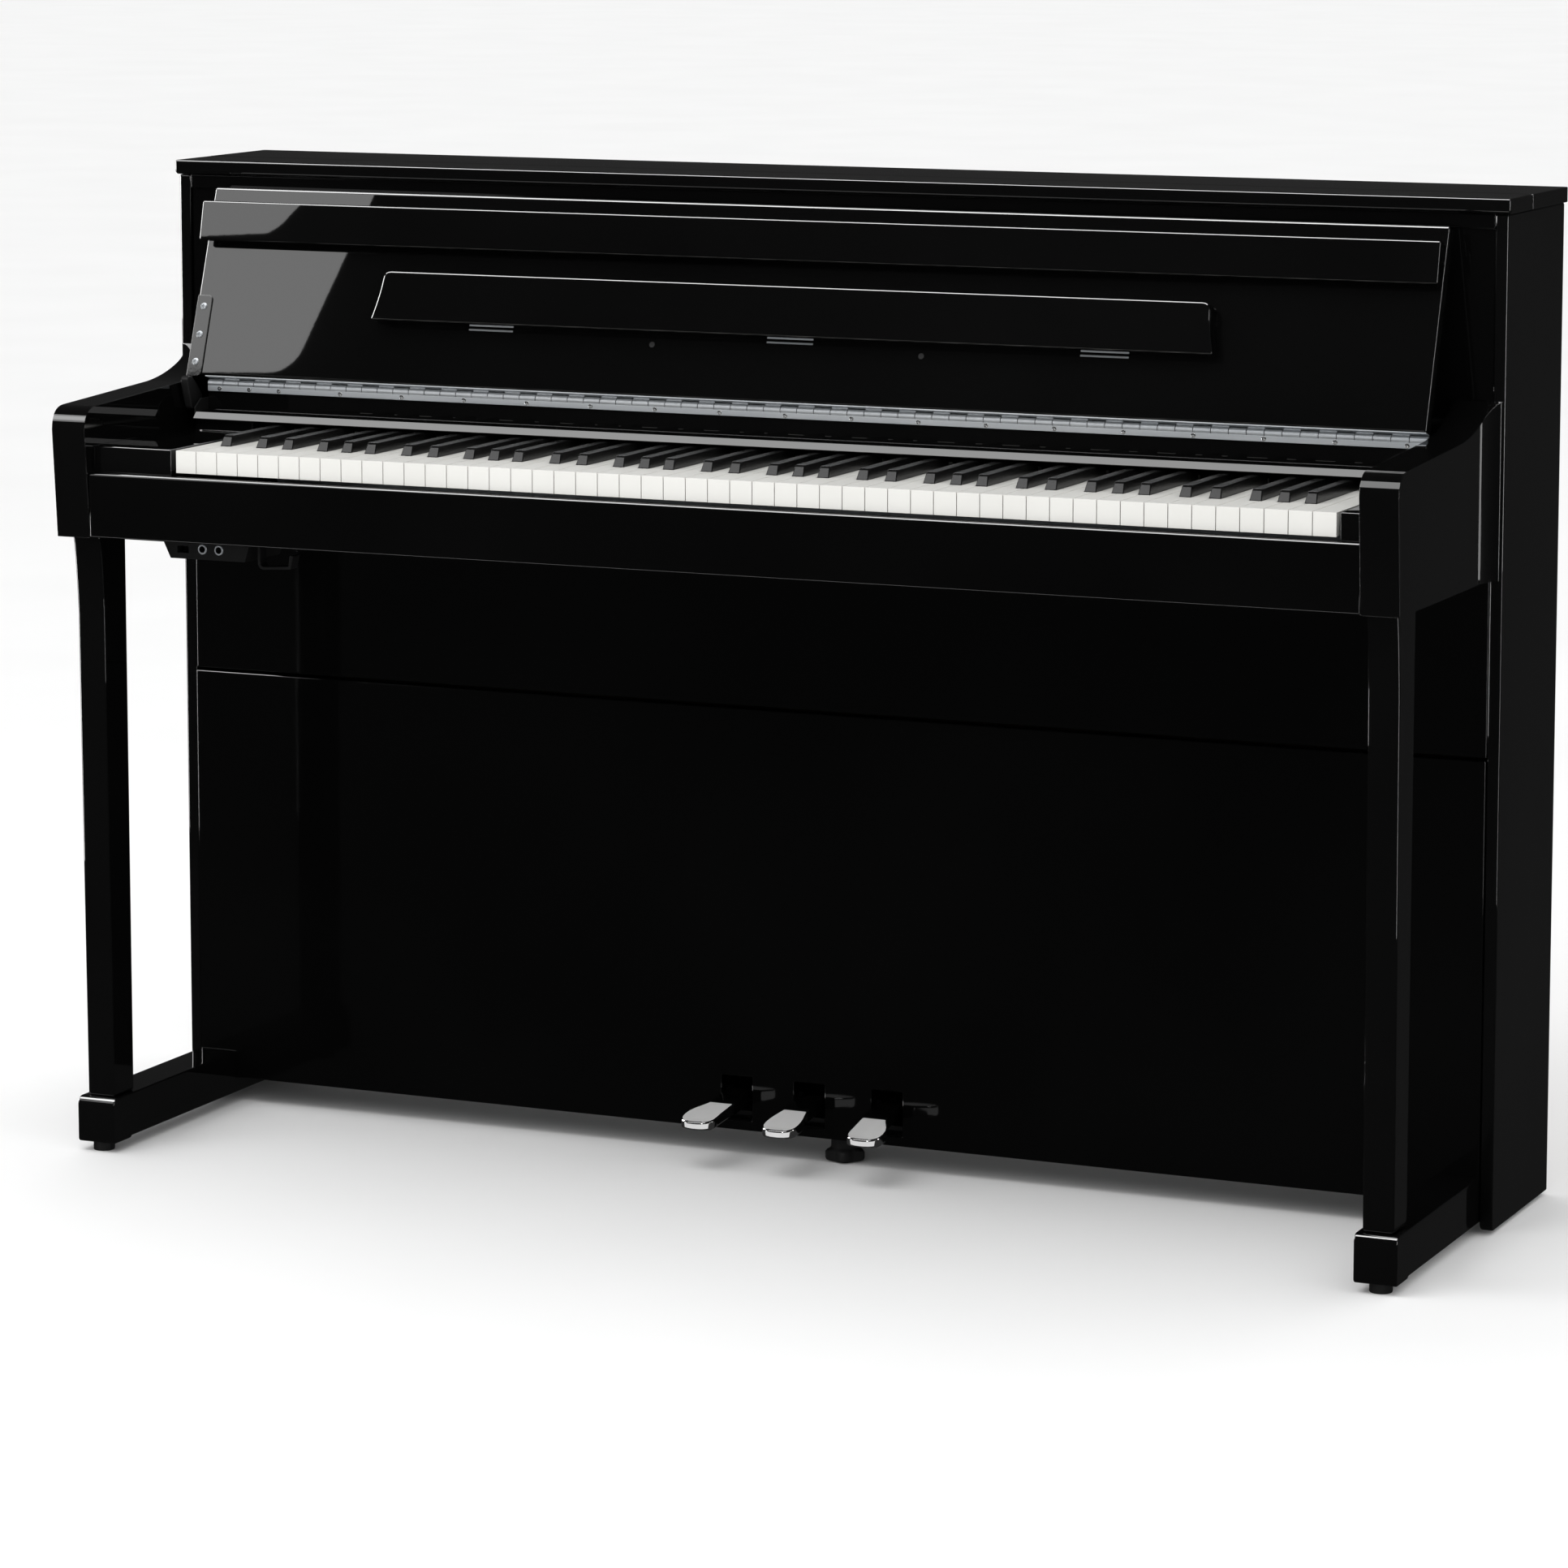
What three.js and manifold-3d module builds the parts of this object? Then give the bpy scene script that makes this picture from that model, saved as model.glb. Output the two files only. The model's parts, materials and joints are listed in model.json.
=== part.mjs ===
// Upright digital piano with a folding key cover, three pedals and a polished black case.
// Millimetres, +Z up. X runs along the keyboard (treble at +X) and the player sits at -Y.
// While the pieces are made, y counts from the front of the feet; the last lines move the origin
// to the middle of the footprint, on the floor.

import * as THREE from 'three';
import { mergeVertices } from 'three/addons/utils/BufferGeometryUtils.js';
import Module from 'manifold-3d';

const wasm = await Module();
wasm.setup();

// ---- driving dimensions ----

const GAP = 0.3; // air between pieces that touch

const SIDE_OUT = 723; // outer face of the side panels, from the middle
const SIDE_IN = 710;
const CASE_FRONT = 255; // front edge of the side panels
const CASE_REAR = 441;
const SIDE_BOTTOM = 4;

const TOP_OUT = 726; // top board, overhanging a little
const TOP_FRONT = 251;
const TOP_JOIN = 325; // seam between the front strip and the rear plate
const TOP_UNDER = 990;
const TOP_HEIGHT = 1005;

const BOARD_UNDER = 28; // bottom board, over the rear of the feet
const BOARD_TOP = 40;

const BED_UNDER = 640; // key bed
const BED_TOP = 662;
const SLIP_FRONT = -22;
const SLIP_REAR = -13;
const SLIP_TOP = 707;

const ARM_IN = 672;
const ARM_OUT = 710;
const ARM_FLARE = 222; // where the arm starts to widen to the side panel
const LEG_OUT = 703;
const FOOT_IN = 667;
const FOOT_TOP = 57;
const FOOT_UNDER = 10;

const KEY_LEFT = -576.4; // left side of the lowest white key
const WHITE_PITCH = 23.5;
const KEY_SLOT = 0.9; // air between two keys
const WHITE_FRONT = -11;
const WHITE_UNDER = 710;
const WHITE_TOP = 732.6;
const BLACK_FRONT = 43;
const BLACK_WIDTH = 11;
const BLACK_TOP = 743.3;
const BLACK_REAR = 176; // where the raised part of a black key ends, under the hinge board
const KEY_REAR = 216;
const BANK_REAR = 232; // rear strip that joins the banks of fixed keys
const KEY_PIVOT_Y = 200;

const SHELF_FRONT = 150; // board behind the keys, with a sloping front edge
const SHELF_SLOPE = 6.3;
const SHELF_UNDER = 745.5;
const SHELF_TOP = 752.4;
const RAIL_FRONT = 182.5;
const NOTCH = -649.5; // left of this the damper lever swings

const HINGE_Y = 184.3; // axis of the key cover's hinge
const HINGE_Z = 779.6;
const KNUCKLE_R = 3.8;
const PIN_R = 1.4;
const KNUCKLES = 23;
const LEAN = THREE.MathUtils.degToRad(18.7); // the open cover leans back by this
const LID_HALF = 670.5;
const LID_INNER = -12; // inner face, in the cover's own frame
const LID_OUTER = 2;
const LID_LOW = 5.6;
const LID_HIGH = 207;

const PEDAL_X = [-80, 1, 87];
const PEDAL_BEND = [-9, 0, 7]; // how far each toe turns out
const PEDAL_PIVOT_Y = 320;
const PEDAL_PIVOT_Z = 62;
const ADJUSTER_X = 28;
const ADJUSTER_Y = 284;
const BUTTON_X = 600; // power button, in a pocket under the key bed
const BUTTON_Y = 30;

// ---- materials ----

const finish = (color, roughness, metalness = 0) => (
  () => new THREE.MeshStandardMaterial({ color, roughness, metalness })
);
const polishedBlack = finish(0x08080a, 0.08);
const satinBlack = finish(0x141416, 0.45);
const ivory = finish(0xf2efe6, 0.22);
const ebony = finish(0x18181a, 0.35);
const steel = finish(0xc4c6ca, 0.3, 1);
const nickel = finish(0xd4d6da, 0.18, 1);
const rubber = finish(0x202022, 0.8);
const board = finish(0x1e5a3a, 0.5);
const fibreboard = finish(0x3a3532, 0.85);

// ---- small helpers ----

const piano = new THREE.Group();

function add(name, geometry, material, parent = piano) {
  const mesh = new THREE.Mesh(geometry, material());
  mesh.name = name;
  parent.add(mesh);
  return mesh;
}

function box(x0, x1, y0, y1, z0, z1) {
  const geometry = new THREE.BoxGeometry(x1 - x0, y1 - y0, z1 - z0);
  return geometry.translate((x0 + x1) / 2, (y0 + y1) / 2, (z0 + z1) / 2);
}

const AXIS_X = new THREE.Vector3(1, 0, 0);
const AXIS_Y = new THREE.Vector3(0, 1, 0);
const AXIS_Z = new THREE.Vector3(0, 0, 1);

function outline(points) {
  return new THREE.Shape(points.map(([a, b]) => new THREE.Vector2(a, b)));
}

// A (y, z) outline pushed along X.
function alongX(shape, x0, x1, curveSegments = 6) {
  const options = { depth: x1 - x0, bevelEnabled: false, curveSegments };
  const geometry = new THREE.ExtrudeGeometry(shape, options);
  geometry.applyMatrix4(new THREE.Matrix4().makeBasis(AXIS_Y, AXIS_Z, AXIS_X));
  return geometry.translate(x0, 0, 0);
}

// An (x, z) outline pushed along Y.
function alongY(shape, y0, y1, curveSegments = 6) {
  const options = { depth: y1 - y0, bevelEnabled: false, curveSegments };
  const geometry = new THREE.ExtrudeGeometry(shape, options);
  const back = AXIS_Y.clone().negate();
  geometry.applyMatrix4(new THREE.Matrix4().makeBasis(AXIS_X, AXIS_Z, back));
  return geometry.translate(0, y1, 0);
}

// An (x, y) outline pushed up along Z.
function alongZ(shape, z0, z1, curveSegments = 6) {
  const options = { depth: z1 - z0, bevelEnabled: false, curveSegments };
  return new THREE.ExtrudeGeometry(shape, options).translate(0, 0, z0);
}

function rod(radius, x0, x1, y, z, sides = 12) {
  const geometry = new THREE.CylinderGeometry(radius, radius, x1 - x0, sides);
  return geometry.rotateZ(Math.PI / 2).translate((x0 + x1) / 2, y, z);
}

function post(radius, x, y, z0, z1, sides = 20) {
  const geometry = new THREE.CylinderGeometry(radius, radius, z1 - z0, sides);
  return geometry.rotateX(Math.PI / 2).translate(x, y, (z0 + z1) / 2);
}

function solid(geometry) {
  const bare = geometry.clone();
  bare.deleteAttribute('normal');
  bare.deleteAttribute('uv');
  const merged = mergeVertices(bare, 1e-4);
  const vertProperties = new Float32Array(merged.attributes.position.array);
  const triVerts = new Uint32Array(merged.index.array);
  return new wasm.Manifold(new wasm.Mesh({ numProp: 3, vertProperties, triVerts }));
}

function shell(manifold) {
  const mesh = manifold.getMesh();
  const geometry = new THREE.BufferGeometry();
  geometry.setAttribute('position', new THREE.BufferAttribute(mesh.vertProperties, 3));
  geometry.setIndex(new THREE.BufferAttribute(mesh.triVerts, 1));
  geometry.computeVertexNormals();
  return geometry;
}

const joined = (...list) => shell(list.map(solid).reduce((a, b) => a.add(b)));
const cutFrom = (base, ...tools) => shell(tools.map(solid).reduce((a, b) => a.subtract(b), solid(base)));

// Adds a left and a right copy, mirrored about the middle.
function addPair(name, make, material) {
  add(`left_${name}`, make(-1), material);
  add(`right_${name}`, make(1), material);
}

// A box between two distances from the middle, on one side.
function sideBox(side, near, far, ...rest) {
  return side < 0 ? box(-far, -near, ...rest) : box(near, far, ...rest);
}

function sideAlongX(side, shape, near, far) {
  return side < 0 ? alongX(shape, -far, -near) : alongX(shape, near, far);
}

// ---- case ----

addPair('side_panel', (side) => {
  const radius = 8;
  const shape = new THREE.Shape();
  shape.moveTo(CASE_FRONT, SIDE_BOTTOM + radius);
  shape.absarc(CASE_FRONT + radius, SIDE_BOTTOM + radius, radius, Math.PI, 1.5 * Math.PI);
  shape.lineTo(CASE_REAR, SIDE_BOTTOM);
  shape.lineTo(CASE_REAR, TOP_UNDER - GAP);
  shape.lineTo(CASE_FRONT, TOP_UNDER - GAP);
  return sideAlongX(side, shape, SIDE_IN, SIDE_OUT);
}, polishedBlack);

function topFront() {
  const radius = 5;
  const shape = new THREE.Shape();
  shape.moveTo(TOP_FRONT, TOP_HEIGHT);
  shape.lineTo(TOP_FRONT, TOP_UNDER + radius);
  shape.absarc(TOP_FRONT + radius, TOP_UNDER + radius, radius, Math.PI, 1.5 * Math.PI);
  shape.lineTo(TOP_JOIN - GAP, TOP_UNDER);
  shape.lineTo(TOP_JOIN - GAP, TOP_HEIGHT);
  return alongX(shape, -TOP_OUT, TOP_OUT);
}
add('top_board_front', topFront(), polishedBlack);
add('top_board_rear', box(-TOP_OUT, TOP_OUT, TOP_JOIN, CASE_REAR, TOP_UNDER, TOP_HEIGHT), polishedBlack);

const PANEL_HALF = SIDE_IN - GAP;
const PANEL_FRONT = 259;
const PANEL_REAR = 271;
const MOULDING_UNDER = 976;

// The upper panel ends in a moulding that stands proud under the top board.
const upperPanel = outline([
  [PANEL_FRONT, BED_TOP + 2],
  [PANEL_REAR, BED_TOP + 2],
  [PANEL_REAR, TOP_UNDER - GAP],
  [PANEL_FRONT - 3, TOP_UNDER - GAP],
  [PANEL_FRONT - 3, MOULDING_UNDER],
  [PANEL_FRONT, MOULDING_UNDER],
]);
add('upper_front_panel', alongX(upperPanel, -PANEL_HALF, PANEL_HALF), polishedBlack);

const KNEE_FRONT = 255;
const KNEE_REAR = 267;
const KNEE_UNDER = 468;
add('knee_panel', box(-PANEL_HALF, PANEL_HALF, KNEE_FRONT, KNEE_REAR, KNEE_UNDER, BED_TOP + 1), polishedBlack);

const LOWER_FRONT = 253;
const LOWER_REAR = 267;
const LOWER_UNDER = BOARD_UNDER;
const SLOT_HALF = 17;
const SLOT_LOW = 38;
const SLOT_HIGH = 84;
const pedalSlots = PEDAL_X.map((x) => (
  box(x - SLOT_HALF, x + SLOT_HALF, LOWER_FRONT - 5, LOWER_REAR + 5, SLOT_LOW, SLOT_HIGH)
));
const lowerBoard = box(-PANEL_HALF, PANEL_HALF, LOWER_FRONT, LOWER_REAR, LOWER_UNDER, KNEE_UNDER - 3);
add('lower_front_panel', cutFrom(lowerBoard, ...pedalSlots), polishedBlack);

const BACK_FRONT = 431;
const BACK_REAR = 438;
const inletHole = box(-560, -528, BACK_FRONT - 5, BACK_REAR + 5, 120, 146);
const backBoard = box(-PANEL_HALF, PANEL_HALF, BACK_FRONT, BACK_REAR, 30, TOP_UNDER - 1);
add('back_panel', cutFrom(backBoard, inletHole), fibreboard);

// ---- arms, legs, feet and glides ----

function armProfile() {
  const shape = new THREE.Shape();
  shape.moveTo(-20, BED_UNDER);
  shape.lineTo(CASE_FRONT - GAP, BED_UNDER);
  shape.lineTo(CASE_FRONT - GAP, 812);
  shape.quadraticCurveTo(215, 785, 158, 781);
  shape.lineTo(-6, 773);
  shape.bezierCurveTo(-20, 772, -27, 765, -28, 750);
  return shape;
}

function armPlan() {
  const shape = new THREE.Shape();
  const reach = SIDE_OUT - ARM_OUT - 0.6;
  shape.moveTo(ARM_IN, -40);
  shape.lineTo(ARM_OUT, -40);
  shape.lineTo(ARM_OUT, ARM_FLARE);
  const steps = 6;
  for (let i = 1; i <= steps; i += 1) {
    const turn = (i / steps) * Math.PI / 2;
    const x = ARM_OUT + reach * (1 - Math.cos(turn));
    shape.lineTo(x, ARM_FLARE + (CASE_FRONT - ARM_FLARE) * Math.sin(turn));
  }
  shape.lineTo(ARM_IN, CASE_FRONT);
  return shape;
}

function arm(side) {
  const body = solid(alongX(armProfile(), ARM_IN - 5, SIDE_OUT + 5, 14));
  const plan = solid(alongZ(armPlan(), BED_UNDER - 10, 830));
  const right = body.intersect(plan);
  return side > 0 ? shell(right) : shell(right.mirror([1, 0, 0]));
}
addPair('arm', arm, polishedBlack);

addPair('leg', (side) => {
  const shape = new THREE.Shape();
  shape.moveTo(10, FOOT_TOP + GAP);
  shape.lineTo(50, FOOT_TOP + GAP);
  shape.lineTo(50, BED_UNDER - GAP);
  shape.lineTo(-3, BED_UNDER - GAP);
  shape.quadraticCurveTo(2, 618, 5, 560);
  return sideAlongX(side, shape, ARM_IN, LEG_OUT);
}, polishedBlack);

addPair('foot', (side) => {
  const radius = 8;
  const shape = new THREE.Shape();
  shape.moveTo(0, FOOT_UNDER + 2);
  shape.lineTo(2, FOOT_UNDER);
  shape.lineTo(34, FOOT_UNDER);
  shape.lineTo(36, FOOT_UNDER + 2);
  shape.lineTo(420, FOOT_UNDER + 2);
  shape.lineTo(420, LOWER_UNDER - GAP);
  shape.lineTo(LOWER_FRONT - GAP, LOWER_UNDER - GAP);
  shape.lineTo(LOWER_FRONT - GAP, FOOT_TOP);
  shape.lineTo(radius, FOOT_TOP);
  shape.absarc(radius, FOOT_TOP - radius, radius, Math.PI / 2, Math.PI);
  return sideAlongX(side, shape, FOOT_IN, SIDE_IN - GAP);
}, polishedBlack);

const GLIDE_X = 689;
addPair('front_glide', (side) => post(11, side * GLIDE_X, 17, 0, FOOT_UNDER - GAP), rubber);
addPair('rear_glide', (side) => post(11, side * GLIDE_X, 400, 0, FOOT_UNDER + 2 - GAP), rubber);

// ---- key bed and what closes it in ----

const BED_HALF = ARM_IN - GAP;
const bedBoard = box(-BED_HALF, BED_HALF, SLIP_REAR + GAP, CASE_FRONT - GAP, BED_UNDER, BED_TOP);
const buttonPocket = post(8, BUTTON_X, BUTTON_Y, BED_UNDER - 5, BED_UNDER + 7);
add('key_bed', cutFrom(bedBoard, buttonPocket), polishedBlack);
add('power_button', post(7, BUTTON_X, BUTTON_Y, BED_UNDER - 5, BED_UNDER + 3), satinBlack);

function keySlip() {
  const radius = 4;
  const shape = new THREE.Shape();
  shape.moveTo(SLIP_FRONT + 1, BED_UNDER + 1);
  shape.lineTo(SLIP_REAR, BED_UNDER + 1);
  shape.lineTo(SLIP_REAR, SLIP_TOP);
  shape.lineTo(SLIP_FRONT + radius, SLIP_TOP);
  shape.absarc(SLIP_FRONT + radius, SLIP_TOP - radius, radius, Math.PI / 2, Math.PI);
  return alongX(shape, -BED_HALF, BED_HALF);
}
add('key_slip', keySlip(), polishedBlack);

const BLOCK_TOP = 733;
const KEYS_RIGHT = KEY_LEFT + 52 * WHITE_PITCH;

// A block beside the keys, with a riser at the rear that carries the hinge board.
function keyBlock(x0, x1, riser) {
  const main = box(x0, x1, WHITE_FRONT, 178, BED_TOP + GAP, BLOCK_TOP);
  return joined(main, box(riser, x1, 156, 178, BLOCK_TOP - 5, SHELF_UNDER - GAP));
}
add('left_key_block', keyBlock(-BED_HALF, -582, NOTCH), satinBlack);
const RIGHT_BLOCK = KEYS_RIGHT + 3.4;
add('right_key_block', keyBlock(RIGHT_BLOCK, BED_HALF, RIGHT_BLOCK), satinBlack);

// Key frame: a base plate with a front guide rail and a balance rail under the keys' pivots.
const RAIL_TOP = WHITE_UNDER - 0.7;
const frameProfile = outline([
  [6, BED_TOP + GAP],
  [236, BED_TOP + GAP],
  [236, BED_TOP + 6],
  [KEY_PIVOT_Y + 5, BED_TOP + 6],
  [KEY_PIVOT_Y + 5, RAIL_TOP],
  [KEY_PIVOT_Y - 5, RAIL_TOP],
  [KEY_PIVOT_Y - 5, BED_TOP + 6],
  [40, BED_TOP + 6],
  [40, 694],
  [22, 694],
  [22, BED_TOP + 6],
  [6, BED_TOP + 6],
]);
add('key_frame', alongX(frameProfile, KEY_LEFT, KEYS_RIGHT), steel);

// ---- keys ----

// White keys are counted from the lowest A; every black key stands over one of their joints.
const WHITES = 52;
const NOTES = 'ABCDEFG';
const BLACK_AFTER = { A: 3, C: -3, D: 3, F: -4, G: 0 }; // sideways set of each black key
const noteOf = (index) => NOTES[index % 7];
const jointX = (index) => KEY_LEFT + index * WHITE_PITCH;
const blackX = (index) => jointX(index + 1) + BLACK_AFTER[noteOf(index)];
const hasBlack = (index) => index >= 0 && index < WHITES - 1 && noteOf(index) in BLACK_AFTER;
const NOTCH_HALF = BLACK_WIDTH / 2 + 1.2;
const MIDDLE_FIRST = 23; // white key index of middle C
const MIDDLE_LAST = 29;

// The sides of a white key, narrowed where its black neighbours pass.
function whiteSides(index) {
  const left = jointX(index) + KEY_SLOT / 2;
  const right = jointX(index + 1) - KEY_SLOT / 2;
  const tailLeft = hasBlack(index - 1) ? Math.max(left, blackX(index - 1) + NOTCH_HALF) : left;
  const tailRight = hasBlack(index) ? Math.min(right, blackX(index) - NOTCH_HALF) : right;
  return { left, right, tailLeft, tailRight };
}

function whiteOutline(index) {
  const { left, right, tailLeft, tailRight } = whiteSides(index);
  const shoulder = BLACK_FRONT - 2;
  const corners = [
    [left, WHITE_FRONT],
    [right, WHITE_FRONT],
    [right, shoulder],
    [tailRight, shoulder],
    [tailRight, KEY_REAR],
    [tailLeft, KEY_REAR],
    [tailLeft, shoulder],
    [left, shoulder],
  ];
  return outline(corners.filter(([x, y], i) => {
    const [px, py] = corners[(i + corners.length - 1) % corners.length];
    return Math.abs(x - px) + Math.abs(y - py) > 1e-6;
  }));
}

const whiteKey = (index) => alongZ(whiteOutline(index), WHITE_UNDER, WHITE_TOP);

function blackKey(index) {
  const x = blackX(index);
  const profile = outline([
    [BLACK_FRONT, WHITE_UNDER + 2],
    [KEY_REAR, WHITE_UNDER + 2],
    [KEY_REAR, WHITE_TOP - 4],
    [BLACK_REAR, WHITE_TOP - 4],
    [BLACK_REAR - 2, BLACK_TOP],
    [BLACK_FRONT + 6, BLACK_TOP],
    [BLACK_FRONT, WHITE_TOP],
  ]);
  return alongX(profile, x - BLACK_WIDTH / 2, x + BLACK_WIDTH / 2);
}

const isMiddle = (index) => index >= MIDDLE_FIRST && index <= MIDDLE_LAST;
const indices = Array.from({ length: WHITES }, (_, index) => index);

// The keys below and above the middle octave are joined in banks by a strip at the rear.
function whiteTail(index) {
  const { tailLeft, tailRight } = whiteSides(index);
  return box(tailLeft + 2, tailRight - 2, KEY_REAR - 2, KEY_REAR + 6, WHITE_UNDER + 1, WHITE_UNDER + 7);
}
function blackTail(index) {
  return box(blackX(index) - 3, blackX(index) + 3, KEY_REAR - 2, KEY_REAR + 6, 723, 727);
}
function addBank(where, list) {
  const first = list[0];
  const last = list[list.length - 1];
  const ends = [jointX(first) + 3, jointX(last + 1) - 3];
  const strip = box(...ends, KEY_REAR + 4, BANK_REAR, WHITE_UNDER, WHITE_UNDER + 8);
  add(`${where}_white_keys`, joined(strip, ...list.map(whiteKey), ...list.map(whiteTail)), ivory);
  const sharps = list.filter(hasBlack);
  const sharpEnds = [blackX(sharps[0]) - 4, blackX(sharps[sharps.length - 1]) + 4];
  const bar = box(...sharpEnds, KEY_REAR + 4, BANK_REAR, 722, 728);
  add(`${where}_black_keys`, joined(bar, ...sharps.map(blackKey), ...sharps.map(blackTail)), ebony);
}
addBank('bass', indices.filter((index) => index < MIDDLE_FIRST));
addBank('treble', indices.filter((index) => index > MIDDLE_LAST));

for (const index of indices.filter(isMiddle)) {
  const note = noteOf(index).toLowerCase();
  add(`key_${note}`, whiteKey(index), ivory);
  if (hasBlack(index)) {
    add(`key_${note}_sharp`, blackKey(index), ebony);
  }
}

// ---- board and rail behind the keys ----

function hingeBoard() {
  const shelf = outline([
    [184, SHELF_UNDER],
    [184, SHELF_TOP],
    [SHELF_FRONT + SHELF_SLOPE, SHELF_TOP],
    [SHELF_FRONT, SHELF_TOP - SHELF_SLOPE],
    [SHELF_FRONT, SHELF_UNDER],
  ]);
  const rail = outline([
    [RAIL_FRONT, SHELF_UNDER],
    [200, SHELF_UNDER],
    [200, 763],
    [PANEL_FRONT - GAP, 763],
    [PANEL_FRONT - GAP, 775.3],
    [RAIL_FRONT, 775.3],
  ]);
  return joined(alongX(shelf, NOTCH, BED_HALF), alongX(rail, NOTCH, BED_HALF));
}
add('hinge_board', hingeBoard(), polishedBlack);

// ---- key cover hinge ----

// A knuckle of the moving leaf: a tube that turns on the pin.
function knuckle(x0, x1, y, z) {
  const shape = new THREE.Shape();
  shape.absarc(y, z, KNUCKLE_R, 0, 2 * Math.PI);
  const bore = new THREE.Path();
  bore.absarc(y, z, PIN_R + 0.3, 0, 2 * Math.PI, true);
  shape.holes.push(bore);
  return alongX(shape, x0, x1, 6);
}

const HINGE_LEFT = NOTCH + 0.5;
const HINGE_RIGHT = LID_HALF - 0.5;
const KNUCKLE_PITCH = (HINGE_RIGHT - HINGE_LEFT) / KNUCKLES;
const knuckleIndices = Array.from({ length: KNUCKLES }, (_, i) => i);
const knuckleSpan = (i) => {
  const start = HINGE_LEFT + i * KNUCKLE_PITCH;
  return [start + GAP, start + KNUCKLE_PITCH - GAP];
};

// The pin is held in the fixed leaf's knuckles.
function fixedLeaf() {
  const parts = [
    box(HINGE_LEFT, HINGE_RIGHT, 180.8, 182.2, 771.7, 775.4),
    rod(PIN_R, HINGE_LEFT + 1, HINGE_RIGHT - 1, HINGE_Y, HINGE_Z),
  ];
  for (const i of knuckleIndices.filter((k) => k % 2 === 0)) {
    const [x0, x1] = knuckleSpan(i);
    parts.push(rod(KNUCKLE_R, x0, x1, HINGE_Y, HINGE_Z));
    parts.push(box(x0, x1, 180.8, 182.2, 775, 778.2));
  }
  return joined(...parts);
}
add('lid_hinge_fixed_leaf', fixedLeaf(), steel);

// The cover's own frame: z runs up its inner face, y into its thickness, origin on the hinge axis.
const lid = new THREE.Group();
lid.position.set(0, HINGE_Y, HINGE_Z);
lid.rotation.x = -LEAN;
piano.add(lid);

function movingLeaf() {
  const parts = [box(HINGE_LEFT, HINGE_RIGHT, LID_INNER + 1, -0.5, LID_LOW - 1.5, LID_LOW - GAP)];
  for (const i of knuckleIndices.filter((k) => k % 2 === 1)) {
    const [x0, x1] = knuckleSpan(i);
    parts.push(knuckle(x0, x1, 0, 0));
    parts.push(box(x0, x1, -3, -1, 2.2, LID_LOW - 1));
  }
  return joined(...parts);
}
add('lid_hinge_moving_leaf', movingLeaf(), steel, lid);

// ---- key cover ----

function lidBoard() {
  const radius = 4;
  const shape = new THREE.Shape();
  shape.moveTo(LID_INNER, LID_LOW);
  shape.lineTo(LID_OUTER, LID_LOW);
  shape.lineTo(LID_OUTER, LID_HIGH - radius);
  shape.absarc(LID_OUTER - radius, LID_HIGH - radius, radius, 0, Math.PI / 2);
  shape.absarc(LID_INNER + radius, LID_HIGH - radius, radius, Math.PI / 2, Math.PI);
  return alongX(shape, -LID_HALF, LID_HALF, 4);
}
add('lid_board', lidBoard(), polishedBlack, lid);

// Front lip, folded down on the cover: a thick root at its hinge, and a thinner apron that hangs
// in front of the keys when the cover is shut.
const FOLD_CLEAR = 0.5;
const LIP_AXIS = 186.8;
const LIP_HIGH = LIP_AXIS - 0.4;
const LIP_ROOT = 168;
const LIP_LOW = 145;
const LIP_FACE = -34; // the face slopes back a little towards its lower edge
const LIP_LOW_FACE = -30;
const LIP_APRON = 7; // apron's thickness at its lower edge
function lidLip() {
  const radius = 2.5;
  const back = LID_INNER - FOLD_CLEAR;
  const shape = new THREE.Shape();
  shape.moveTo(back, LIP_HIGH);
  shape.lineTo(LIP_FACE + radius, LIP_HIGH);
  shape.absarc(LIP_FACE + radius, LIP_HIGH - radius, radius, Math.PI / 2, Math.PI);
  shape.absarc(LIP_LOW_FACE + radius, LIP_LOW + radius, radius, Math.PI, 1.5 * Math.PI);
  shape.lineTo(LIP_LOW_FACE + LIP_APRON, LIP_LOW);
  shape.lineTo(LIP_LOW_FACE + LIP_APRON, LIP_ROOT);
  shape.lineTo(back, LIP_ROOT);
  return alongX(shape, -LID_HALF, LID_HALF, 4);
}
add('lid_lip', lidLip(), polishedBlack, lid);

// Music shelf, folded up against the cover, with rounded top corners. It opens about its lower rear edge.
const REST_LOW = 67.6;
const REST_HIGH = 119.4;
const REST_FACE = -31.5;
const REST_LOW_HALF = 455.7;
const REST_HIGH_HALF = 448;
function musicShelf() {
  const radius = 9;
  const shape = new THREE.Shape();
  shape.moveTo(-REST_LOW_HALF, REST_LOW);
  shape.lineTo(REST_LOW_HALF, REST_LOW);
  shape.quadraticCurveTo(REST_HIGH_HALF + 1, REST_LOW + 26, REST_HIGH_HALF, REST_HIGH - radius);
  shape.quadraticCurveTo(REST_HIGH_HALF, REST_HIGH, REST_HIGH_HALF - radius, REST_HIGH);
  shape.lineTo(-REST_HIGH_HALF + radius, REST_HIGH);
  shape.quadraticCurveTo(-REST_HIGH_HALF, REST_HIGH, -REST_HIGH_HALF, REST_HIGH - radius);
  shape.quadraticCurveTo(-REST_HIGH_HALF - 1, REST_LOW + 26, -REST_LOW_HALF, REST_LOW);
  return alongY(shape, REST_FACE, LID_INNER - GAP, 5);
}
add('music_shelf', musicShelf(), polishedBlack, lid);

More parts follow.
